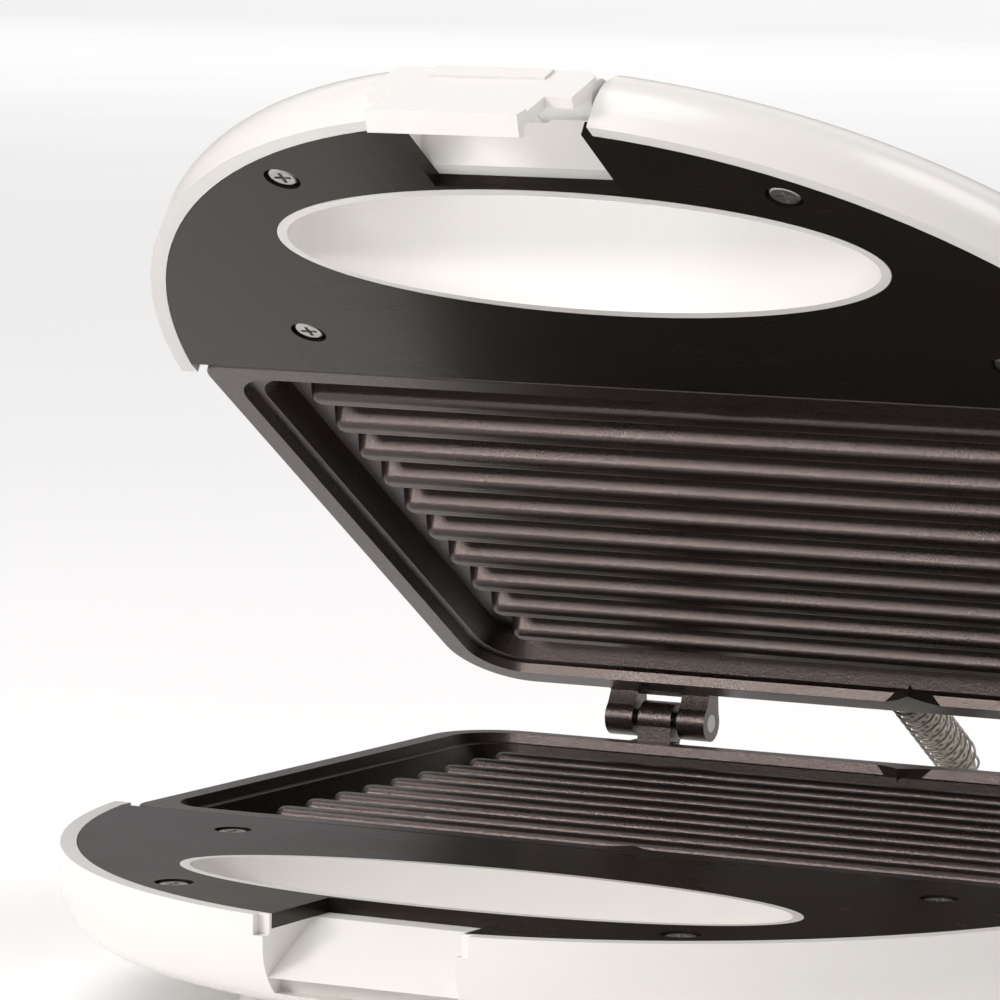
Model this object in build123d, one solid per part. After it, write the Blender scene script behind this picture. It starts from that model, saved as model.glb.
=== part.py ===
from build123d import *
import os
from math import cos, radians, sin

# Panini press, built at real size in millimetres.  X runs to the right, Y to the back, Z up.
# The model is drawn in a working frame: Z = 0 is the base plate's rim, Y = 0 is the front edge
# of the grill plates, X = 0 is the plane of symmetry.  Lid parts are drawn like base parts, then
# mirrored across the parting gap and swung open about the hinge.  The last step moves
# everything so that the origin is the middle of the footprint, on the table.

# ---- driving dimensions ----------------------------------------------------------------
PLATE_WIDTH = 220.0
PLATE_DEPTH = 146.5
PLATE_REAR_RADIUS = 16.0
PLATE_FRONT_RADIUS = 5.0
FLANGE = 3.0                 # thickness of the plate's rim
RIM_WIDTH = 5.0              # flat rim around the cavity
CAVITY_STEP = 2.0            # depth of the small ledge inside the rim
CAVITY_DEPTH = 7.0
PAN_DEPTH = 9.4              # underside of the cast pan
RIB_COUNT = 10
RIB_PITCH = 12.2
RIB_HALF_LENGTH = 94.0
RIB_WIDTH = 7.4
RIB_TOP = 2.4                # rib crest, below the rim

PARTING_GAP = 9.0            # between the two rims with the lid level
LID_REST_ANGLE = 32.0        # how far the lid stands open, measured from level
HINGE_Y = PLATE_DEPTH + 4.5
HINGE_Z = PARTING_GAP / 2
HINGE_X = 63.0               # middle of each hinge
KNUCKLE_RADIUS = 4.1
HINGE_WIDTH = 24.4
LID_KNUCKLE = 6.7
BASE_KNUCKLE = 8.0
HINGE_PIN_RADIUS = 2.0
RUNNING = 0.05               # radial clearance of a pin that turns

PANEL_A = 113.9              # half axes and centre of the ellipse that rounds the front
PANEL_B = 126.9
PANEL_Y = 24.9
PANEL_THICKNESS = 2.8
PANEL_REAR = -0.4
OVAL_A = 64.5                # grip opening, outside its white lip
OVAL_B = 24.0
OVAL_Y = -54.5
LIP = 2.0
NOTCH_HALF = 19.7            # notch for the latch at the front centre
NOTCH_Y = -78.8
PANEL_SCREWS = ((-76.0, -17.0), (76.0, -17.0), (-52.6, -79.3), (52.6, -79.3))

RIM_LIP = 3.2                # shell rim that stays visible around the panel
WALL = 2.4
BODY_HALF = 111.5            # shell beside the plates
BODY_REAR = PLATE_DEPTH + 1.5
BASE_FRONT_DEPTH = 27.4      # depth of each domed front below its rim, at the dome's middle
LID_FRONT_DEPTH = 26.2
FRONT_DOME = (22.0, 700.0)   # the front dome's middle and radius
BODY_DEPTH = 26.5
BODY_DOME = (40.0, 1100.0)
FRONT_ROUND = 13.0
REAR_ROUND = 10.0
RIM_HEIGHT = 34.0            # base rim above the table

LATCH_Y = -99.0              # latch pivot
LATCH_Z = 8.0                # above the lid's rim
LATCH_REST_ANGLE = 37.0      # swung out from the locked position
LATCH_HALF = 21.2
LATCH_TONGUE_HALF = 15.6
CATCH_Y = -101.3             # edge of the ledge in the base that the latch hooks under
CATCH_Z = -11.6
LATCH_PIN_RADIUS = 1.25
LATCH_PIN_HALF = LATCH_HALF + 0.8 + WALL    # the pin ends flush with the notch walls

ELEMENT_RADIUS = 3.0
TRAY_TOP = -15.9             # reflector sheet, clamped under the plate's bosses
TRAY_LOW = -16.8
SCREW_HEAD = 1.6
BODY_SCREWS = ((-62.0, 34.0), (62.0, 34.0), (-62.0, 100.0), (62.0, 100.0))
FEET = ((-56.0, -28.0), (56.0, -28.0), (-82.0, 110.0), (82.0, 110.0))

GLAND_X = -32.0              # cord inlet in the rear housing
GLAND_Z = -14.0
CONDUIT_X = -6.0             # sprung conduit that carries the wires up to the lid
CONDUIT_LOW_Z = -16.3
CONDUIT_SLOPE = -31.5        # its slope where it leaves the lid, degrees
CONDUIT_RADIUS = 5.0
SLEEVE_RADIUS = 4.2
LAMP_X = (-9.0, 9.0)
LAMP_Y = -14.0

HINGE_AXIS = Axis((0, HINGE_Y, HINGE_Z), (-1, 0, 0))
LATCH_AXIS = Axis((0, LATCH_Y, PARTING_GAP + LATCH_Z), (-1, 0, 0))


# ---- small helpers ---------------------------------------------------------------------
def cylinder(x, y, low, high, radius):
    """Upright cylinder between two heights."""
    return Pos(x, y, (low + high) / 2) * Cylinder(radius, high - low)


def block(x0, x1, y0, y1, z0, z1):
    """Box between two corners."""
    return Pos((x0 + x1) / 2, (y0 + y1) / 2, (z0 + z1) / 2) * Box(x1 - x0, y1 - y0, z1 - z0)


def side_prism(points, half_width, x=0.0):
    """Outline drawn in the YZ plane, extruded evenly to both sides of x."""
    outline = Plane.YZ.offset(x) * make_face(Polyline(*points, close=True))
    return extrude(outline, half_width, both=True)


def cross_rod(x0, x1, y, z, radius):
    """Round bar along X."""
    return Pos((x0 + x1) / 2, y, z) * Rot(0, 90, 0) * Cylinder(radius, x1 - x0)


def oval(extra=0.0):
    """The grip opening's ellipse, grown by extra."""
    return Pos(0, OVAL_Y) * Ellipse(OVAL_A + extra, OVAL_B + extra)


def front_face(extra=0.0, rear=PANEL_REAR):
    """The rounded front of the press, in front of the line Y = rear."""
    strip = Pos(0, rear - 100) * Rectangle(300, 200)
    return Pos(0, PANEL_Y) * Ellipse(PANEL_A + extra, PANEL_B + extra) & strip


def body_face(inset=0.0):
    """The shell's outline beside and behind the plates."""
    front = -5.0 - inset
    width = 2 * (BODY_HALF - inset)
    depth = BODY_REAR - inset - front
    outline = Pos(0, front + depth / 2) * Rectangle(width, depth)
    rear_corners = outline.vertices().group_by(Axis.Y)[-1]
    return fillet(rear_corners, PLATE_REAR_RADIUS + 1 - inset / 2)


def plate_face(inset=0.0, rear_radius=PLATE_REAR_RADIUS, front_radius=PLATE_FRONT_RADIUS):
    """The grill plate's outline, drawn in by inset."""
    outline = Pos(0, PLATE_DEPTH / 2) * Rectangle(PLATE_WIDTH - 2 * inset, PLATE_DEPTH - 2 * inset)
    rear = outline.vertices().group_by(Axis.Y)[-1]
    outline = fillet(rear, max(rear_radius - inset, 2))
    front = outline.vertices().group_by(Axis.Y)[0]
    return fillet(front, front_radius)


def dome(middle_and_radius, depth):
    """A large ball that gives a shell its gently domed outside."""
    middle, radius = middle_and_radius
    return Pos(0, middle, radius - depth) * Sphere(radius)


def rounded_bowl(face, ball, radius, keep_edge):
    """Extrude an outline down to the dome and round its lower edge."""
    solid = extrude(face, -60) & ball
    domed = solid.faces().sort_by(Axis.Z)[0]
    return fillet([edge for edge in domed.edges() if keep_edge(edge)], radius)


def outer_form(front_depth):
    """Outside of a shell: the round front and the body under the plate."""
    front = rounded_bowl(front_face(RIM_LIP, 3.0), dome(FRONT_DOME, front_depth), FRONT_ROUND,
                         lambda edge: edge.center().Y < 2.5)
    body = rounded_bowl(body_face(), dome(BODY_DOME, BODY_DEPTH), REAR_ROUND,
                        lambda edge: edge.center().Y > -4.5)
    return front + body


def inner_form(front_depth):
    """Hollow of a shell."""
    front = rounded_bowl(front_face(-1.2, 0.8), dome(FRONT_DOME, front_depth - WALL), FRONT_ROUND - 3,
                         lambda edge: edge.center().Y < 0.5)
    body = rounded_bowl(body_face(WALL), dome(BODY_DOME, BODY_DEPTH - WALL), REAR_ROUND - 2,
                        lambda edge: edge.center().Y > -7.0)
    return front + body


# ---- shells ----------------------------------------------------------------------------
def notch_walls(half_width):
    """Solid around the latch notch, before its hollow is cut."""
    return block(-half_width - WALL, half_width + WALL, -112, OVAL_Y - OVAL_B + LIP, -40, 0)


def notch_hollow(half_width, *deep_end):
    """Front notch: a shallow groove at its back, then a slope down to the given points."""
    groove = ((-120, 6), (NOTCH_Y, 6), (NOTCH_Y, -0.8), (-80.0, -0.8), (-80.0, -2.0), (-81.2, -2.0),
              (-81.4, -1.4))
    return side_prism(groove + deep_end, half_width)


def shell_form(notch_half, outer, hollow, hollow_of_notch, posts=()):
    """Hollow out an outer form and add the screw posts, grip collar and latch notch."""
    inside = notch_walls(notch_half)
    inside += extrude(oval() - oval(-LIP), -40)
    for x, y in PANEL_SCREWS:
        inside += cylinder(x, y, -40, -PANEL_THICKNESS, 4.5)
    for post in posts:
        inside += post
    shell = outer - hollow + (inside & outer)
    shell -= extrude(front_face(0.0, 0.0), -PANEL_THICKNESS) - extrude(oval(), -10)
    shell -= block(-111.6, 111.6, -0.2, 170, -FLANGE, 5)
    shell -= extrude(plate_face(3.5), -PAN_DEPTH - 0.4)
    shell -= extrude(oval(-LIP), -60)
    shell -= hollow_of_notch
    for x, y in PANEL_SCREWS:
        shell -= cylinder(x, y, -12, 0, 1.5)
    return shell


def make_base_shell():
    outer = outer_form(BASE_FRONT_DEPTH)
    for x, y in FEET:
        outer += cylinder(x, y, -31.0, -14.0, 10.0)
    housing = block(-46, 46, 120, 157, -23.6, -2.0)
    outer += fillet(housing.edges().filter_by(Axis.Z) + housing.faces().sort_by(Axis.Z)[0].edges(), 4)
    posts = [cylinder(x, y, -40, TRAY_LOW, 5.0) for x, y in BODY_SCREWS]
    notch = notch_hollow(NOTCH_HALF, (CATCH_Y, CATCH_Z), (CATCH_Y + 5.3, CATCH_Z),
                         (CATCH_Y + 5.3, -14.8), (-120, -14.8))
    notch += block(-LATCH_HALF - 0.8, LATCH_HALF + 0.8, -120, -100.9, -3.8, 6)
    shell = shell_form(NOTCH_HALF, outer, inner_form(BASE_FRONT_DEPTH), notch, posts)
    for x, y in BODY_SCREWS:
        shell -= cylinder(x, y, -60, -5, 1.6)
        shell -= cylinder(x, y, -60, -20.0, 3.4)
    shell -= block(-43.6, 43.6, 137, 154.6, -21.6, -5.6)
    for x, y in FEET:
        shell -= cylinder(x, y, -31.5, -29.0, 7.0)
        shell -= cylinder(x, y, -31.5, -25.0, 2.5)
    shell -= Pos(CONDUIT_X, 156, CONDUIT_LOW_Z) * Rot(90, 0, 0) * Cylinder(CONDUIT_RADIUS + 0.15, 8)
    return shell - Pos(GLAND_X, 156, GLAND_Z) * Rot(90, 0, 0) * Cylinder(5.0, 8)


def make_lid_shell():
    tongue = block(-48, 48, 120, 152.3, -17, -0.4)
    tongue = fillet(tongue.edges().filter_by(Axis.Z) + tongue.faces().sort_by(Axis.Z)[0].edges(), 3.5)
    half = LATCH_HALF + 0.8
    notch = notch_hollow(half, (-89.0, -13.2), (-89.0, -40), (-120, -40))
    shell = shell_form(half, outer_form(LID_FRONT_DEPTH) + tongue, inner_form(LID_FRONT_DEPTH), notch)
    shell -= block(-45.6, 45.6, 146.9, 149.9, -14.5, -2.8)
    shell -= block(-111.6, 111.6, -0.2, PLATE_DEPTH + 0.1, -FLANGE, 5)
    for x in LAMP_X:
        shell -= cylinder(x, LAMP_Y, -40, -10, 3.4)
    shell -= cross_rod(-LATCH_PIN_HALF - 0.2, LATCH_PIN_HALF + 0.2, LATCH_Y, -LATCH_Z, LATCH_PIN_RADIUS)
    lid = to_lid(shell)
    path = conduit_path()
    mouth = Plane(path @ 0, z_dir=path % 0) * Cylinder(CONDUIT_RADIUS + 0.15, 16)
    return lid - mouth


# ---- front panels ----------------------------------------------------------------------
def make_panel():
    outline = front_face(-0.15) - oval(0.15)
    outline -= Pos(0, NOTCH_Y - 30) * Rectangle(2 * NOTCH_HALF, 60)
    panel = extrude(outline, -PANEL_THICKNESS)
    for x, y in PANEL_SCREWS:
        panel -= cylinder(x, y, -PANEL_THICKNESS, 1, 1.7)
        panel -= cylinder(x, y, -1.9, 1, 3.7)
    return panel


# ---- grill plates ----------------------------------------------------------------------
def cusp(y, direction):
    """Small pointed pad that narrows the cavity at its front and rear middle."""
    half, reach = 9.0, 4.2
    left = (-half, y)
    right = (half, y)
    tip = (0, y + direction * reach)
    outline = (ThreePointArc(left, (-half * 0.42, y + direction * reach * 0.38), tip)
               + ThreePointArc(tip, (half * 0.42, y + direction * reach * 0.38), right)
               + Line(right, (half, y - 3 * direction)) + Line((half, y - 3 * direction), (-half, y - 3 * direction))
               + Line((-half, y - 3 * direction), left))
    return extrude(make_face(outline), -CAVITY_DEPTH - 0.5)


def rib(y):
    """One grill bar: rounded crest, rounded ends."""
    foot = -CAVITY_DEPTH - 0.3
    outline = Pos(0, y) * SlotOverall(2 * RIB_HALF_LENGTH, RIB_WIDTH)
    bar = Pos(0, 0, foot) * extrude(outline, CAVITY_DEPTH + 0.3 - RIB_TOP, taper=20)
    crest = bar.faces().sort_by(Axis.Z)[-1]
    return fillet(crest.edges(), 1.7)


def plate_body():
    """Cast plate without hinge parts: flange, pan, stepped cavity, ribs."""
    plate = extrude(plate_face(), -FLANGE)
    plate += extrude(plate_face(4.0), -PAN_DEPTH)
    plate = fillet(plate.edges().group_by(Axis.Z)[-1], 0.6)
    plate -= extrude(plate_face(RIM_WIDTH, 16, 9), -CAVITY_STEP, taper=20)
    lower = Pos(0, 0, -CAVITY_STEP + 0.02) * plate_face(RIM_WIDTH + 3.2, 18, 8)
    plate -= extrude(lower, -(CAVITY_DEPTH - CAVITY_STEP), taper=28)
    plate += cusp(RIM_WIDTH - 0.5, 1) & extrude(plate_face(1), -CAVITY_DEPTH - 1)
    plate += cusp(PLATE_DEPTH - RIM_WIDTH + 0.5, -1) & extrude(plate_face(1), -CAVITY_DEPTH - 1)
    for index in range(RIB_COUNT):
        plate += rib(PLATE_DEPTH / 2 + (index - (RIB_COUNT - 1) / 2) * RIB_PITCH)
    for x, y in BODY_SCREWS:
        plate += cylinder(x, y, TRAY_TOP, -PAN_DEPTH + 0.5, 4.5)
        plate -= cylinder(x, y, TRAY_TOP - 1, -8.5, 1.5)
    return plate


def knuckle(x, width, tab_half, bore):
    """One hinge barrel with the web that ties it to the plate's rear edge."""
    barrel = cross_rod(x - width / 2, x + width / 2, HINGE_Y, HINGE_Z, KNUCKLE_RADIUS)
    web = side_prism(((PLATE_DEPTH - 4, 0), (PLATE_DEPTH - 4, -FLANGE), (PLATE_DEPTH + 3.6, -FLANGE),
                      (HINGE_Y + 3.9, HINGE_Z - 1.2), (HINGE_Y - 3.9, HINGE_Z - 1.2),
                      (PLATE_DEPTH + 0.3, 0)), width / 2, x)
    tab = block(x - tab_half, x + tab_half, PLATE_DEPTH - 3, PLATE_DEPTH + 2.6, -FLANGE, 0)
    piece = barrel + web + tab
    return piece - cross_rod(x - 30, x + 30, HINGE_Y, HINGE_Z, bore)


def make_base_plate():
    plate = plate_body()
    for side in (-1, 1):
        plate += knuckle(side * HINGE_X, BASE_KNUCKLE, 5.4, HINGE_PIN_RADIUS)
    return plate


def make_lid_plate():
    plate = plate_body()
    for side in (-1, 1):
        for hand in (-1, 1):
            x = side * HINGE_X + hand * (HINGE_WIDTH - LID_KNUCKLE) / 2
            plate += knuckle(x, LID_KNUCKLE, LID_KNUCKLE / 2, HINGE_PIN_RADIUS + RUNNING)
        x = side * HINGE_X
        plate += block(x - 12.2, x + 12.2, PLATE_DEPTH - 3, PLATE_DEPTH + 2.2, -FLANGE, -0.3)
    return to_lid(plate)


# ---- heating ---------------------------------------------------------------------------
def make_element():
    """Tubular heater: one loop under the pan, with a terminal pin at each end."""
    z = -PAN_DEPTH - ELEMENT_RADIUS
    corners = ((-16, 128, z), (-16, 118, z), (-80, 118, z), (-80, 20, z), (80, 20, z), (80, 118, z),
               (16, 118, z), (16, 128, z))
    path = FilletPolyline(*corners, radius=[5, 16, 20, 20, 16, 5])
    tube = sweep(Plane(path @ 0, z_dir=path % 0) * Circle(ELEMENT_RADIUS), path)
    for x in (-16, 16):
        tube += Pos(x, 132, z) * Rot(90, 0, 0) * Cylinder(1.2, 8)
    return tube


def make_reflector():
    """Thin bright tray that turns the heat back to the plate."""
    tray = block(-86, 86, 14, 124, TRAY_LOW, TRAY_TOP + 2.6)
    tray -= block(-85.3, 85.3, 14.7, 123.3, TRAY_TOP, TRAY_TOP + 4)
    tray -= block(-22, 22, 120, 130, TRAY_TOP, 0)
    for x, y in BODY_SCREWS:
        tray -= cylinder(x, y, TRAY_LOW - 1, TRAY_TOP + 1, 1.7)
    return tray


def make_thermostat():
    body = cylinder(0, 64, -14.4, -PAN_DEPTH, 8.0)
    for side in (-1, 1):
        body += block(side * 9.5 - 3.5, side * 9.5 + 3.5, 61.5, 66.5, -14.0, -13.2)
    return body


def make_thermal_fuse():
    fuse = cross_rod(-37, -23, 88, -PAN_DEPTH - 2.0, 2.0)
    return fuse + cross_rod(-48, -12, 88, -PAN_DEPTH - 2.0, 0.5)


def make_terminal_block():
    terminals = block(-36, -6, 139.0, 146.0, -21.6, -14.0)
    for index in range(3):
        terminals -= cylinder(-30 + index * 9, 142.5, -17, -13, 1.9)
    return terminals


# ---- fasteners and small parts ---------------------------------------------------------
def screw(x, y, head_top, shaft_end):
    """Pan-head screw, head up, with a cross recess."""
    head = cylinder(x, y, head_top - SCREW_HEAD, head_top, 3.2)
    head = fillet(head.faces().sort_by(Axis.Z)[-1].edges(), 0.8)
    piece = head + cylinder(x, y, shaft_end, head_top - 1.0, 1.5)
    piece -= Pos(x, y, head_top) * Box(3.6, 0.8, 1.6)
    return piece - Pos(x, y, head_top) * Box(0.8, 3.6, 1.6)


def make_panel_screws():
    """Four screws, heads sunk just below the panel's face."""
    return Compound([screw(x, y, -0.3, -11.0) for x, y in PANEL_SCREWS])


def make_plate_screws(bearing):
    """Four screws from behind into the plate's bosses, heads bearing at the given depth."""
    upright = [screw(x, y, bearing + SCREW_HEAD, 9.0) for x, y in BODY_SCREWS]
    return Compound([mirror(piece, about=Plane.XY) for piece in upright])


def make_feet():
    feet = []
    for x, y in FEET:
        pad = cylinder(x, y, -RIM_HEIGHT, -29.0, 7.0)
        pad = fillet(pad.faces().sort_by(Axis.Z)[0].edges(), 1.0)
        feet.append(pad + cylinder(x, y, -29.0, -25.5, 2.5))
    return Compound(feet)


def make_hinge_pins():
    half = HINGE_WIDTH / 2
    return Compound([cross_rod(side * HINGE_X - half, side * HINGE_X + half, HINGE_Y, HINGE_Z,
                                        HINGE_PIN_RADIUS) for side in (-1, 1)])


def make_cord_gland():
    gland = Pos(GLAND_X, 158.6, GLAND_Z) * Rot(90, 0, 0) * Cylinder(6.6, 3.2)
    gland = fillet(gland.faces().sort_by(Axis.Y)[-1].edges(), 1.2)
    gland += Pos(GLAND_X, 154.5, GLAND_Z) * Rot(90, 0, 0) * Cylinder(5.0, 5)
    return gland - Pos(GLAND_X, 155, GLAND_Z) * Rot(90, 0, 0) * Cylinder(3.3, 20)


# ---- wire conduit between base and lid -------------------------------------------------
def conduit_path():
    """Straight out of the lid's rear, then round in a half turn into the base's rear wall."""
    start = lid_point(147.6, 6.4)
    heading = (cos(radians(CONDUIT_SLOPE)), sin(radians(CONDUIT_SLOPE)))
    run = (CONDUIT_LOW_Z - start[1]) / heading[1]
    corner = (CONDUIT_X, start[0] + run * heading[0], CONDUIT_LOW_Z)
    return FilletPolyline((CONDUIT_X, *start), corner, (CONDUIT_X, 154.8, CONDUIT_LOW_Z), radius=7.6)


def make_conduit(outer, inner):
    path = conduit_path()
    section = Circle(outer) - Circle(inner) if inner else Circle(outer)
    return sweep(Plane(path @ 0, z_dir=path % 0) * section, path)


# ---- latch and lamps -------------------------------------------------------------------
def make_latch():
    """Clip drawn in its locked position: barrel, front plate, tongue with hook, then swung out."""
    y, z = LATCH_Y, PARTING_GAP + LATCH_Z
    latch = block(-LATCH_HALF, LATCH_HALF, y - 4.9, y - 2.7, z - 11.0, z + 1.5)
    latch = fillet(latch.edges().filter_by(Axis.Y).group_by(Axis.Z)[-1], 3.0)
    latch += block(-12.0, 12.0, y - 5.5, y - 4.0, z - 3.2, z + 1.0)
    latch += cross_rod(-LATCH_HALF, LATCH_HALF, y, z, 3.9)
    latch += cross_rod(-9.7, 9.7, y + 0.2, z + 0.3, 4.5)
    latch += block(-LATCH_TONGUE_HALF, LATCH_TONGUE_HALF, y - 4.9, y - 2.7, z - 20.0, z - 10.0)
    hook_top = CATCH_Z - 8.9
    tongue = ((y - 5.5, z - 18.2), (y - 5.9, z - 22.2), (y - 1.6, z - 22.5), (y - 1.0, z + hook_top - 0.6),
              (y - 1.6, z + hook_top), (y - 2.7, z + hook_top), (y - 2.7, z - 18.2))
    latch += side_prism(tongue, LATCH_TONGUE_HALF)
    groove_half = LATCH_TONGUE_HALF - 1.6
    latch -= block(-groove_half, groove_half, y - 5.4, y - 4.4, z - 18.2, z - 17.4)
    latch -= cross_rod(-30, 30, y, z, LATCH_PIN_RADIUS + RUNNING)
    return to_lid(latch.rotate(LATCH_AXIS, LATCH_REST_ANGLE), mirrored=False)


def make_latch_pin():
    return to_lid(cross_rod(-LATCH_PIN_HALF, LATCH_PIN_HALF, LATCH_Y, -LATCH_Z, LATCH_PIN_RADIUS))


def make_lens(x):
    lens = cylinder(x, LAMP_Y, -26.2, -20.0, 3.4)
    return to_lid(fillet(lens.faces().sort_by(Axis.Z)[0].edges(), 1.6))


def make_lamps():
    """Two small neon lamps, one behind each lens."""
    return to_lid(Compound([cylinder(x, LAMP_Y, -20.0, -12.0, 2.4) for x in LAMP_X]))


# ---- placing ---------------------------------------------------------------------------
def lid_point(y, depth):
    """Where a point of the lid lies with the lid at rest: y and height in the working frame."""
    turn = radians(LID_REST_ANGLE)
    back, up = y - HINGE_Y, PARTING_GAP + depth - HINGE_Z
    return HINGE_Y + back * cos(turn) + up * sin(turn), HINGE_Z - back * sin(turn) + up * cos(turn)


def to_lid(shape, mirrored=True):
    """Mirror a part across the parting gap, then swing it up to the lid's rest angle."""
    if mirrored:
        shape = mirror(shape, about=Plane.XY.offset(PARTING_GAP / 2))
    return shape.rotate(HINGE_AXIS, LID_REST_ANGLE)


parts = {
    "base_shell": make_base_shell(),
    "base_panel": make_panel(),
    "base_plate": make_base_plate(),
    "base_heating_element": make_element(),
    "base_reflector": make_reflector(),
    "base_thermostat": make_thermostat(),
    "thermal_fuse": make_thermal_fuse(),
    "terminal_block": make_terminal_block(),
    "cord_gland": make_cord_gland(),
    "base_panel_screws": make_panel_screws(),
    "base_plate_screws": make_plate_screws(20.0),
    "rubber_feet": make_feet(),
    "hinge_pins": make_hinge_pins(),
    "conduit_spring": make_conduit(CONDUIT_RADIUS, SLEEVE_RADIUS + 0.1),
    "conduit_sleeve": make_conduit(SLEEVE_RADIUS, 0),
    "lid_shell": make_lid_shell(),
    "lid_panel": to_lid(make_panel()),
    "lid_plate": make_lid_plate(),
    "lid_heating_element": to_lid(make_element()),
    "lid_reflector": to_lid(make_reflector()),
    "lid_thermostat": to_lid(make_thermostat()),
    "lid_panel_screws": to_lid(make_panel_screws()),
    "lid_plate_screws": to_lid(make_plate_screws(-TRAY_LOW)),
    "power_lens": make_lens(LAMP_X[0]),
    "ready_lens": make_lens(LAMP_X[1]),
    "indicator_lamps": make_lamps(),
    "latch": make_latch(),
    "latch_pin": make_latch_pin(),
}

boxes = [shape.bounding_box() for shape in parts.values()]
middle_y = (min(box.min.Y for box in boxes) + max(box.max.Y for box in boxes)) / 2
to_table = Pos(0, -middle_y, RIM_HEIGHT)

os.makedirs("parts", exist_ok=True)
for name, shape in parts.items():
    export_step(to_table * shape, f"parts/{name}.step")

latch_y, latch_z = lid_point(LATCH_Y, LATCH_Z)
print("hinge axis at", HINGE_Y - middle_y, HINGE_Z + RIM_HEIGHT)
print("latch axis at", latch_y - middle_y, latch_z + RIM_HEIGHT)
print("working frame moved by", -middle_y, RIM_HEIGHT)
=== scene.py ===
from math import cos, pi, radians, sin

import bmesh
import bpy
from mathutils import Matrix, Vector


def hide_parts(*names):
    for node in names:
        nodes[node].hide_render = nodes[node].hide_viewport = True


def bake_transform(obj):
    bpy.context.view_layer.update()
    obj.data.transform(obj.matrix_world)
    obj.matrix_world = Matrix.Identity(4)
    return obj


# Looks for the panini press: camera, floor, lights, materials and the fine pieces that CAD keeps plain.
# Everything is in metres, in the CAD model's own frame.

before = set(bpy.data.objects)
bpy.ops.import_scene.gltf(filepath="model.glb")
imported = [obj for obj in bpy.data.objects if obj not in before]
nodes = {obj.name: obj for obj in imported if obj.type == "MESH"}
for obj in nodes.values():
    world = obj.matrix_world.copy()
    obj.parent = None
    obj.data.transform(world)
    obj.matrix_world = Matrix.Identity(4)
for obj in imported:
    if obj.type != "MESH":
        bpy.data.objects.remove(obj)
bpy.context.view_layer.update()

# ---- driving numbers ---------------------------------------------------------------------
CAMERA_AZIMUTH = 27.38
CAMERA_ELEVATION = 5.40
CAMERA_ROLL = 0.974
CAMERA_DISTANCE = 1.0779
CAMERA_AIM = (0.0, -0.0950, 0.1067)
CAMERA_LENS = 208.6

FLOOR_HALF_WIDTH = 22.0
FLOOR_NEAR = -8.0
FLOOR_FAR = 14.0                      # where the floor begins to turn up
FLOOR_CURVE = 3.0

LIGHT_AIM = (0.0, 0.0, 0.08)
CEILING_STRENGTH = 1.58
WORLD_COLOUR = (1.0, 0.972, 0.965, 1.0)
WORLD_STRENGTH = 0.32
# name, place, aim, size, power, colour
SOFTBOXES = (
    ("key", (-1.5, -1.0, 1.2), LIGHT_AIM, (1.0, 1.0), 1.6, (1.0, 0.975, 0.96)),
    ("front_softbox", (-0.85, -1.58, 0.66), LIGHT_AIM, (0.50, 0.36), 13.0, (1.0, 0.955, 0.93)),
    ("top_right", (0.9, 0.5, 1.3), LIGHT_AIM, (0.7, 0.7), 5.0, (1.0, 0.975, 0.965)),
    ("far_wash", (-4.0, 9.5, 6.0), (-4.0, 10.5, 0.0), (12.0, 9.0), 190.0, (1.0, 1.0, 1.0)),
)

WIRE_RADIUS = 0.00029
COIL_PITCH = 0.0032
COIL_RADIUS = 0.0047
SLEEVE_RADIUS = 0.0040
BRAID_STRANDS = 9                     # around the sleeve, each way
BRAID_TURNS = 420.0                   # per metre of sleeve
CONDUIT_X = -0.006
CONDUIT_START = (0.10981, 0.04955)    # inside the lid's rear: Y and Z
CONDUIT_END = (0.11072, 0.0177)       # inside the base's rear wall: Y and Z
CONDUIT_SLOPE = radians(-31.5)
CONDUIT_BEND = 0.0076


# ---- camera, floor and lights --------------------------------------------------------------
def make_camera():
    """Camera at the photograph's viewing angle, with a slight roll."""
    azimuth, elevation = radians(CAMERA_AZIMUTH), radians(CAMERA_ELEVATION)
    away = Vector((sin(azimuth) * cos(elevation), -cos(azimuth) * cos(elevation), sin(elevation)))
    camera = bpy.data.objects.new("camera", bpy.data.cameras.new("camera"))
    camera.data.lens = CAMERA_LENS
    camera.data.sensor_width = 36.0
    camera.data.clip_end = 60.0
    roll = Matrix.Rotation(radians(CAMERA_ROLL), 4, "Z")
    turned = away.to_track_quat("Z", "Y").to_matrix().to_4x4() @ roll
    camera.matrix_world = Matrix.Translation(Vector(CAMERA_AIM) + away * CAMERA_DISTANCE) @ turned
    bpy.context.scene.collection.objects.link(camera)
    bpy.context.scene.camera = camera


def make_floor():
    """Pale floor that turns up a little at its far edge."""
    profile = [(FLOOR_NEAR, 0.0), (FLOOR_FAR, 0.0)]
    for angle in range(6, 31, 6):
        rise = FLOOR_CURVE * (1.0 - cos(radians(angle)))
        profile.append((FLOOR_FAR + FLOOR_CURVE * sin(radians(angle)), rise))
    mesh = bmesh.new()
    sides = (-FLOOR_HALF_WIDTH, FLOOR_HALF_WIDTH)
    rows = [[mesh.verts.new((x, y, z)) for y, z in profile] for x in sides]
    for index in range(len(profile) - 1):
        mesh.faces.new((rows[0][index], rows[1][index], rows[1][index + 1], rows[0][index + 1]))
    floor = finish_piece(mesh, "floor", floor_material())


def make_softbox(name, place, aim, size, power, colour):
    """Rectangular light turned towards a point."""
    lamp = bpy.data.lights.new(name, "AREA")
    lamp.shape = "RECTANGLE"
    lamp.size, lamp.size_y = size
    lamp.energy = power
    lamp.color = colour
    light = bpy.data.objects.new(name, lamp)
    turned = (Vector(aim) - Vector(place)).to_track_quat("-Z", "Y").to_matrix().to_4x4()
    light.matrix_world = Matrix.Translation(Vector(place)) @ turned
    bpy.context.scene.collection.objects.link(light)


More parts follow.
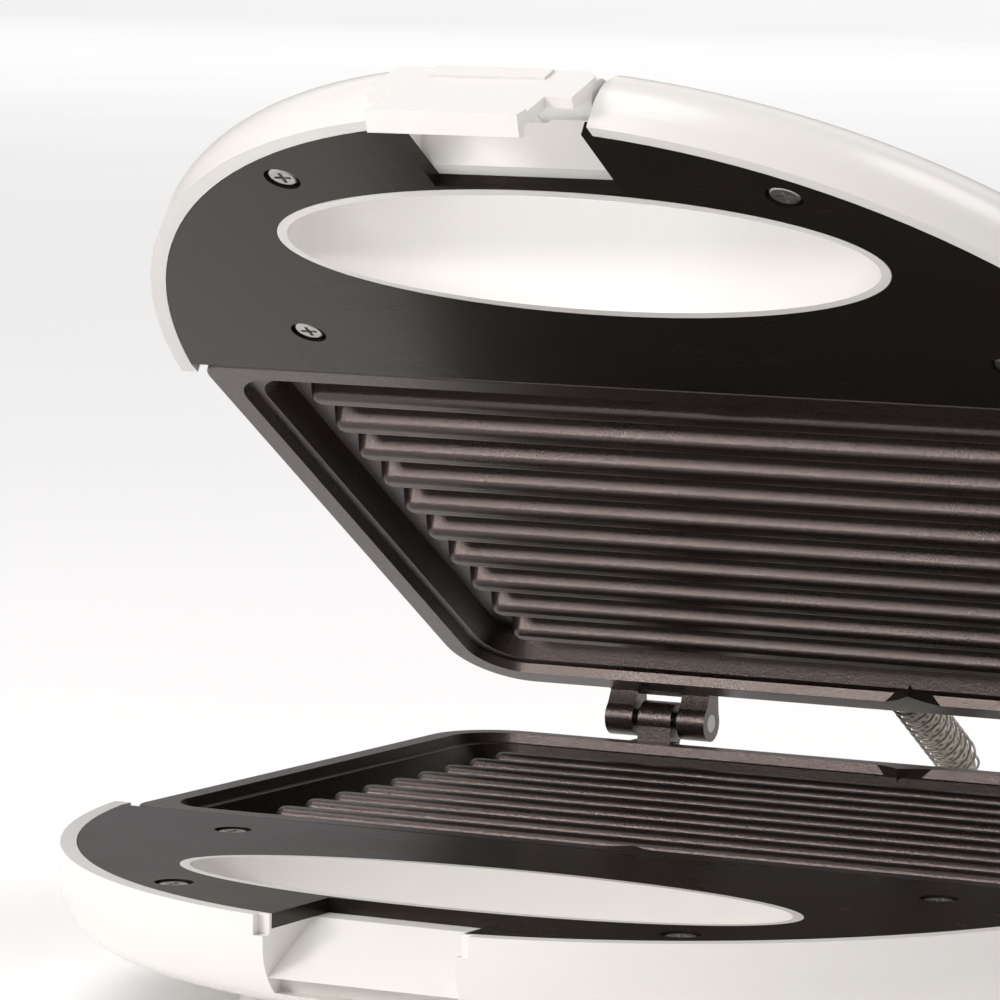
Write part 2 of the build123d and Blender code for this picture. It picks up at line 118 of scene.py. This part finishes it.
def make_sky_light():
    """Even light from above, so that the floor is one pale tone to the far edge of the view."""
    lamp = bpy.data.lights.new("ceiling", "SUN")
    lamp.energy = CEILING_STRENGTH
    lamp.angle = radians(50.0)
    light = bpy.data.objects.new("ceiling", lamp)
    light.rotation_euler = (radians(12.0), radians(-14.0), 0.0)
    bpy.context.scene.collection.objects.link(light)


def make_lights():
    make_sky_light()
    for softbox in SOFTBOXES:
        make_softbox(*softbox)
    world = bpy.data.worlds.new("studio")
    world.use_nodes = True
    background = world.node_tree.nodes["Background"]
    background.inputs["Color"].default_value = WORLD_COLOUR
    background.inputs["Strength"].default_value = WORLD_STRENGTH
    bpy.context.scene.world = world
    bpy.context.scene.view_settings.view_transform = "Standard"


# ---- material helpers ------------------------------------------------------------------------
class Surface:
    """A principled material with short calls for the procedural nodes that feed it."""

    def __init__(self, name, **plain):
        self.material = bpy.data.materials.new(name)
        self.material.use_nodes = True
        self.tree = self.material.node_tree
        self.shader = self.tree.nodes["Principled BSDF"]
        for socket, value in plain.items():
            self.shader.inputs[socket.replace("_", " ")].default_value = value

    def node(self, kind, **inputs):
        made = self.tree.nodes.new(kind)
        for socket, value in inputs.items():
            self.feed(made.inputs[socket.replace("_", " ")], value)
        return made

    def feed(self, socket, value):
        if isinstance(value, bpy.types.NodeSocket):
            self.tree.links.new(value, socket)
        else:
            socket.default_value = value

    def place(self, stretch=(1.0, 1.0, 1.0)):
        """Object coordinates in metres, scaled along each axis."""
        where = self.node("ShaderNodeTexCoord").outputs["Object"]
        return self.node("ShaderNodeMapping", Vector=where, Scale=stretch).outputs["Vector"]

    def noise(self, scale, detail=3.0, rough=0.55, stretch=(1.0, 1.0, 1.0)):
        made = self.node("ShaderNodeTexNoise", Vector=self.place(stretch), Scale=scale, Detail=detail,
                         Roughness=rough)
        return made.outputs["Fac"]

    def ramp(self, factor, *stops):
        """Colour ramp; each stop is a position and a grey value or a colour."""
        made = self.node("ShaderNodeValToRGB", Fac=factor)
        elements = made.color_ramp.elements
        while len(elements) < len(stops):
            elements.new(0.5)
        for element, (position, value) in zip(elements, stops):
            element.position = position
            element.color = (value, value, value, 1.0) if isinstance(value, float) else (*value, 1.0)
        return made.outputs["Color"]

    def mix(self, factor, first, second, kind="MIX"):
        made = self.node("ShaderNodeMix")
        made.data_type = "RGBA"
        made.blend_type = kind
        self.feed(made.inputs[0], factor)
        self.feed(made.inputs[6], first)
        self.feed(made.inputs[7], second)
        return made.outputs[2]

    def math(self, kind, first, second=0.0):
        made = self.node("ShaderNodeMath")
        made.operation = kind
        self.feed(made.inputs[0], first)
        self.feed(made.inputs[1], second)
        return made.outputs[0]

    def bump(self, height, distance, strength=1.0, below=None):
        made = self.node("ShaderNodeBump", Height=height, Distance=distance, Strength=strength)
        if below is not None:
            self.feed(made.inputs["Normal"], below)
        return made.outputs["Normal"]

    def set(self, **inputs):
        for socket, value in inputs.items():
            self.feed(self.shader.inputs[socket.replace("_", " ")], value)
        return self


def floor_material():
    floor = Surface("studio_floor")
    tone = floor.ramp(floor.noise(1.5), (0.3, 0.955), (0.7, 0.98))
    floor.set(Base_Color=tone, Roughness=0.85)
    floor.shader.inputs["Specular IOR Level"].default_value = 0.1
    return floor.material


def white_plastic(name, first, second, gloss):
    """Moulded gloss plastic: faint colour drift, orange peel, fine wiping marks."""
    skin = Surface(name)
    drift = skin.noise(5.0, 1.0)
    colour = skin.ramp(drift, (0.3, first), (0.7, second))
    smear = skin.noise(14.0, 2.0)
    scratch = skin.noise(500.0, 2.0, 0.5, (1.0, 0.03, 1.0))
    rough = skin.math("MULTIPLY_ADD", smear, 0.06)
    rough.node.inputs[2].default_value = gloss
    rough = skin.math("ADD", rough, skin.math("MULTIPLY", scratch, 0.02))
    peel = skin.bump(skin.noise(180.0, 1.0), 0.00001, 0.3)
    skin.set(Base_Color=colour, Roughness=rough, Normal=peel, IOR=1.5)
    skin.shader.inputs["Subsurface Weight"].default_value = 0.15
    skin.shader.inputs["Subsurface Radius"].default_value = (0.008, 0.006, 0.005)
    skin.shader.inputs["Coat Weight"].default_value = 0.25
    skin.shader.inputs["Coat Roughness"].default_value = 0.2
    return skin.material


def black_gloss():
    """Glossy black moulded panel: soft smudges, dust specks and fine wiping marks."""
    skin = Surface("black_gloss_panel")
    smudge = skin.noise(26.0, 5.0, 0.62)
    dust = skin.ramp(skin.noise(3200.0, 1.0), (0.70, 0.0), (0.76, 1.0))
    base = skin.mix(smudge, (0.0100, 0.0078, 0.0064, 1.0), (0.0165, 0.0130, 0.0108, 1.0))
    colour = skin.mix(skin.math("MULTIPLY", dust, 0.25), base, (0.12, 0.11, 0.10, 1.0))
    wipe = skin.noise(700.0, 2.0, 0.5, (0.03, 1.0, 1.0))
    rough = skin.math("ADD", skin.math("MULTIPLY", smudge, 0.16), skin.math("MULTIPLY", wipe, 0.06))
    rough = skin.math("ADD", rough, 0.14)
    peel = skin.bump(skin.noise(300.0, 2.0), 0.00004, 0.5)
    skin.set(Base_Color=colour, Roughness=rough, Normal=peel, IOR=1.42)
    skin.shader.inputs["Specular IOR Level"].default_value = 0.4
    skin.shader.inputs["Specular Tint"].default_value = (0.42, 0.36, 0.33, 1.0)
    return skin.material


def nonstick():
    """Sprayed non-stick coating on cast aluminium: dense fine speckle, satin gloss."""
    coat = Surface("nonstick_coating")
    speckle = coat.noise(1900.0, 3.0, 0.7)
    cloud = coat.noise(34.0, 4.0, 0.6)
    dark = coat.mix(cloud, (0.0125, 0.0078, 0.0068, 1.0), (0.0200, 0.0132, 0.0115, 1.0))
    glint = coat.ramp(speckle, (0.55, 0.0), (0.72, 1.0))
    colour = coat.mix(coat.math("MULTIPLY", glint, 0.5), dark, (0.075, 0.062, 0.054, 1.0))
    rough = coat.math("ADD", coat.math("MULTIPLY", cloud, 0.10), coat.math("MULTIPLY", speckle, 0.16))
    rough = coat.math("ADD", rough, 0.17)
    cast = coat.bump(coat.noise(260.0, 3.0), 0.00012, 0.4)
    spray = coat.bump(speckle, 0.0001, 0.7, cast)
    coat.set(Base_Color=colour, Roughness=rough, Normal=spray, IOR=1.55)
    coat.shader.inputs["Specular IOR Level"].default_value = 0.75
    coat.shader.inputs["Specular Tint"].default_value = (1.0, 0.83, 0.79, 1.0)
    return coat.material


def metal(name, light, dark, gloss, grain=(1.0, 1.0, 0.04), scale=900.0):
    """Bare or plated metal: fine lay along one direction, dulled patches."""
    bare = Surface(name)
    lay = bare.noise(scale, 3.0, 0.6, grain)
    patch = bare.noise(60.0, 4.0, 0.6)
    colour = bare.mix(patch, (*dark, 1.0), (*light, 1.0))
    rough = bare.math("ADD", bare.math("MULTIPLY", lay, 0.18), bare.math("MULTIPLY", patch, 0.12))
    rough = bare.math("ADD", rough, gloss)
    bare.set(Base_Color=colour, Roughness=rough, Normal=bare.bump(lay, 0.00002, 0.5))
    bare.shader.inputs["Metallic"].default_value = 1.0
    return bare.material


def dull(name, light, dark, gloss, scale=500.0, depth=0.00006):
    """Rubber, ceramic or nylon: fine pits and a soft drift of tone."""
    body = Surface(name)
    pits = body.noise(scale, 4.0, 0.7)
    drift = body.noise(45.0, 3.0)
    shade = body.math("MULTIPLY", body.math("ADD", pits, drift), 0.5)
    colour = body.mix(shade, (*dark, 1.0), (*light, 1.0))
    rough = body.math("ADD", body.math("MULTIPLY", pits, 0.25), gloss)
    body.set(Base_Color=colour, Roughness=rough, Normal=body.bump(pits, depth, 0.7))
    return body.material


def lens(name, deep, pale):
    """Clear coloured indicator lens with fine facets inside."""
    glass = Surface(name)
    facets = glass.node("ShaderNodeTexVoronoi", Vector=glass.place(), Scale=900.0).outputs["Distance"]
    colour = glass.mix(facets, (*deep, 1.0), (*pale, 1.0))
    rough = glass.math("ADD", glass.math("MULTIPLY", glass.noise(500.0), 0.1), 0.05)
    glass.set(Base_Color=colour, Roughness=rough, Normal=glass.bump(facets, 0.0001, 0.4))
    glass.shader.inputs["Coat Weight"].default_value = 0.8
    return glass.material


def braid():
    """Glass-fibre braid: two sets of strands wound opposite ways, with painted light in the colour: a
    painted highlight paler at the crowns of the strands and painted shade darker in the gaps between them.
    """
    cloth = Surface("braided_fibre")
    uv = cloth.node("ShaderNodeTexCoord").outputs["UV"]
    split = cloth.node("ShaderNodeSeparateXYZ", Vector=uv)
    along, around = split.outputs["X"], split.outputs["Y"]
    first = cloth.math("SINE", cloth.math("MULTIPLY", cloth.math("ADD", along, around), 2 * pi))
    second = cloth.math("SINE", cloth.math("MULTIPLY", cloth.math("SUBTRACT", along, around), 2 * pi))
    weave = cloth.math("MAXIMUM", first, second)
    # Weave profile used as painted light: 1 is a painted highlight on each crown, 0 is painted shade in the
    # gaps.
    painted_crown_light = cloth.math("MULTIPLY_ADD", weave, 0.5)
    painted_crown_light.node.inputs[2].default_value = 0.5
    fibre = cloth.noise(5200.0, 3.0, 0.7, (1.0, 1.0, 0.2))
    shade = cloth.math("MULTIPLY", painted_crown_light, cloth.math("ADD", cloth.math("MULTIPLY", fibre, 0.4), 0.75))
    # Base colour carries painted light: the dark stop is painted shade between strands, the pale stop a
    # painted highlight on the crowns.
    colour = cloth.ramp(shade, (0.10, (0.19, 0.165, 0.13)), (0.55, (0.47, 0.42, 0.34)),
                        (0.95, (0.70, 0.65, 0.56)))
    cloth.set(Base_Color=colour, Roughness=0.75, Normal=cloth.bump(shade, 0.00025, 0.9))
    cloth.shader.inputs["Sheen Weight"].default_value = 0.2
    return cloth.material


# ---- mesh helpers ------------------------------------------------------------------------------
def finish_piece(mesh, name, material, smooth=True):
    """Turn a bmesh into a linked object with one material."""
    bmesh.ops.recalc_face_normals(mesh, faces=mesh.faces)
    data = bpy.data.meshes.new(name)
    mesh.to_mesh(data)
    mesh.free()
    data.materials.append(material)
    for face in data.polygons:
        face.use_smooth = smooth
    piece = bpy.data.objects.new(name, data)
    bpy.context.scene.collection.objects.link(piece)
    return piece


def tube_mesh(path, radius, sides, turns_per_metre=0.0, strands=1):
    """Closed tube along a list of points, with its run and its turn as UV."""
    mesh = bmesh.new()
    uv = mesh.loops.layers.uv.new("weave")
    side = Vector((1.0, 0.0, 0.0))
    rings, run = [], 0.0
    for index, point in enumerate(path):
        ahead = path[min(index + 1, len(path) - 1)]
        behind = path[max(index - 1, 0)]
        forward = (ahead - behind).normalized()
        side = (side - forward * side.dot(forward)).normalized()
        up = forward.cross(side)
        if index:
            run += (point - path[index - 1]).length
        ring = []
        for step in range(sides):
            turn = 2 * pi * step / sides
            ring.append(mesh.verts.new(point + radius * (cos(turn) * side + sin(turn) * up)))
        rings.append((ring, run))
    for (low, low_run), (high, high_run) in zip(rings, rings[1:]):
        for step in range(sides):
            after = (step + 1) % sides
            face = mesh.faces.new((low[step], low[after], high[after], high[step]))
            corners = ((low_run, step), (low_run, step + 1), (high_run, step + 1), (high_run, step))
            for loop, (along, around) in zip(face.loops, corners):
                loop[uv].uv = (along * turns_per_metre, strands * around / sides)
    mesh.faces.new(rings[0][0])
    mesh.faces.new(list(reversed(rings[-1][0])))
    return mesh


# ---- conduit between lid and base ------------------------------------------------------------------
def conduit_line(step=0.0004):
    """Points along the conduit: straight out of the lid, a half turn, straight into the base."""
    y, z = CONDUIT_START
    heading = Vector((0.0, cos(CONDUIT_SLOPE), sin(CONDUIT_SLOPE)))
    run = (CONDUIT_END[1] - z) / heading.z
    corner = Vector((CONDUIT_X, y + run * heading.y, CONDUIT_END[1]))
    turn = pi + CONDUIT_SLOPE
    cut = CONDUIT_BEND / abs(sin(-CONDUIT_SLOPE / 2)) * cos(-CONDUIT_SLOPE / 2)
    first, last = Vector((CONDUIT_X, y, z)), Vector((CONDUIT_X, *CONDUIT_END))
    bend_in = corner - heading * cut
    centre = bend_in + CONDUIT_BEND * Vector((0.0, heading.z, -heading.y))
    points = straight(first, bend_in, step)
    count = int(CONDUIT_BEND * turn / step)
    arm = bend_in - centre
    for index in range(1, count):
        angle = -turn * index / count
        points.append(centre + Matrix.Rotation(angle, 3, "X") @ arm)
    return points + straight(Vector((CONDUIT_X, corner.y - cut, CONDUIT_END[1])), last, step)


def straight(first, last, step):
    """Points along a straight run."""
    count = max(2, int((last - first).length / step))
    return [first.lerp(last, index / count) for index in range(count + 1)]


def coil_line(line):
    """A helix wound round a centre line."""
    points, run, side = [], 0.0, Vector((1.0, 0.0, 0.0))
    cuts = 5
    for point, ahead in zip(line, line[1:]):
        span = ahead - point
        up = span.normalized().cross(side)
        for cut in range(cuts):
            along = run + span.length * cut / cuts
            angle = 2 * pi * along / COIL_PITCH
            centre = point + span * (cut / cuts)
            points.append(centre + COIL_RADIUS * (cos(angle) * side + sin(angle) * up))
        run += span.length
    return points


def make_conduit():
    """Wire coil and braided sleeve, which stretch between the base and the lid."""
    line = conduit_line()
    coil = finish_piece(tube_mesh(coil_line(line), WIRE_RADIUS, 8), "conduit_coil",
                        metal("spring_wire", (0.34, 0.31, 0.29), (0.16, 0.15, 0.14), 0.18))
    sleeve = finish_piece(tube_mesh(line, SLEEVE_RADIUS, 40, BRAID_TURNS, BRAID_STRANDS),
                          "conduit_braid", braid())
    for piece, node, slot in ((coil, "conduit_spring", "spring_wire"),
                              (sleeve, "conduit_sleeve", "braided_sleeve")):
        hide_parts(node)
        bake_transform(piece)


# ---- materials on the CAD nodes -----------------------------------------------------------------------
def dress(material, *names):
    """Give CAD nodes one material."""
    for name in names:
        slots = nodes[name].data.materials
        slots.clear()
        slots.append(material)


def dress_cad():
    """Every CAD node's material."""
    shell = white_plastic("white_shell", (0.83, 0.805, 0.78), (0.87, 0.845, 0.82), 0.20)
    clip = white_plastic("white_clip", (0.86, 0.84, 0.82), (0.89, 0.87, 0.85), 0.26)
    dress(shell, "base_shell", "lid_shell")
    dress(clip, "latch")
    dress(black_gloss(), "base_panel", "lid_panel")
    dress(nonstick(), "base_plate", "lid_plate")
    dress(metal("zinc_screw", (0.62, 0.60, 0.57), (0.42, 0.40, 0.38), 0.20, (1.0, 1.0, 1.0)),
          "base_panel_screws", "lid_panel_screws", "base_plate_screws", "lid_plate_screws")
    dress(metal("steel_pin", (0.46, 0.44, 0.42), (0.30, 0.29, 0.28), 0.22, (0.04, 1.0, 1.0)),
          "hinge_pins", "latch_pin")
    dress(metal("heater_tube", (0.30, 0.27, 0.24), (0.16, 0.14, 0.13), 0.38),
          "base_heating_element", "lid_heating_element")
    dress(metal("reflector", (0.80, 0.80, 0.80), (0.66, 0.66, 0.66), 0.16, (0.04, 1.0, 1.0)),
          "base_reflector", "lid_reflector")
    dress(dull("ceramic", (0.78, 0.74, 0.66), (0.66, 0.61, 0.53), 0.45), "base_thermostat", "lid_thermostat")
    dress(metal("fuse_case", (0.72, 0.70, 0.66), (0.55, 0.53, 0.50), 0.18), "thermal_fuse")
    dress(dull("nylon", (0.78, 0.77, 0.72), (0.68, 0.66, 0.60), 0.35), "terminal_block")
    dress(dull("black_rubber", (0.030, 0.029, 0.028), (0.012, 0.012, 0.012), 0.55, 900.0, 0.0001),
          "rubber_feet", "cord_gland")
    dress(lens("red_lens", (0.30, 0.004, 0.003), (0.75, 0.03, 0.02)), "power_lens")
    dress(lens("green_lens", (0.006, 0.16, 0.02), (0.05, 0.55, 0.10)), "ready_lens")
    dress(lens("lamp_glass", (0.60, 0.56, 0.50), (0.85, 0.80, 0.74)), "indicator_lamps")


make_camera()
make_floor()
make_lights()
dress_cad()
make_conduit()
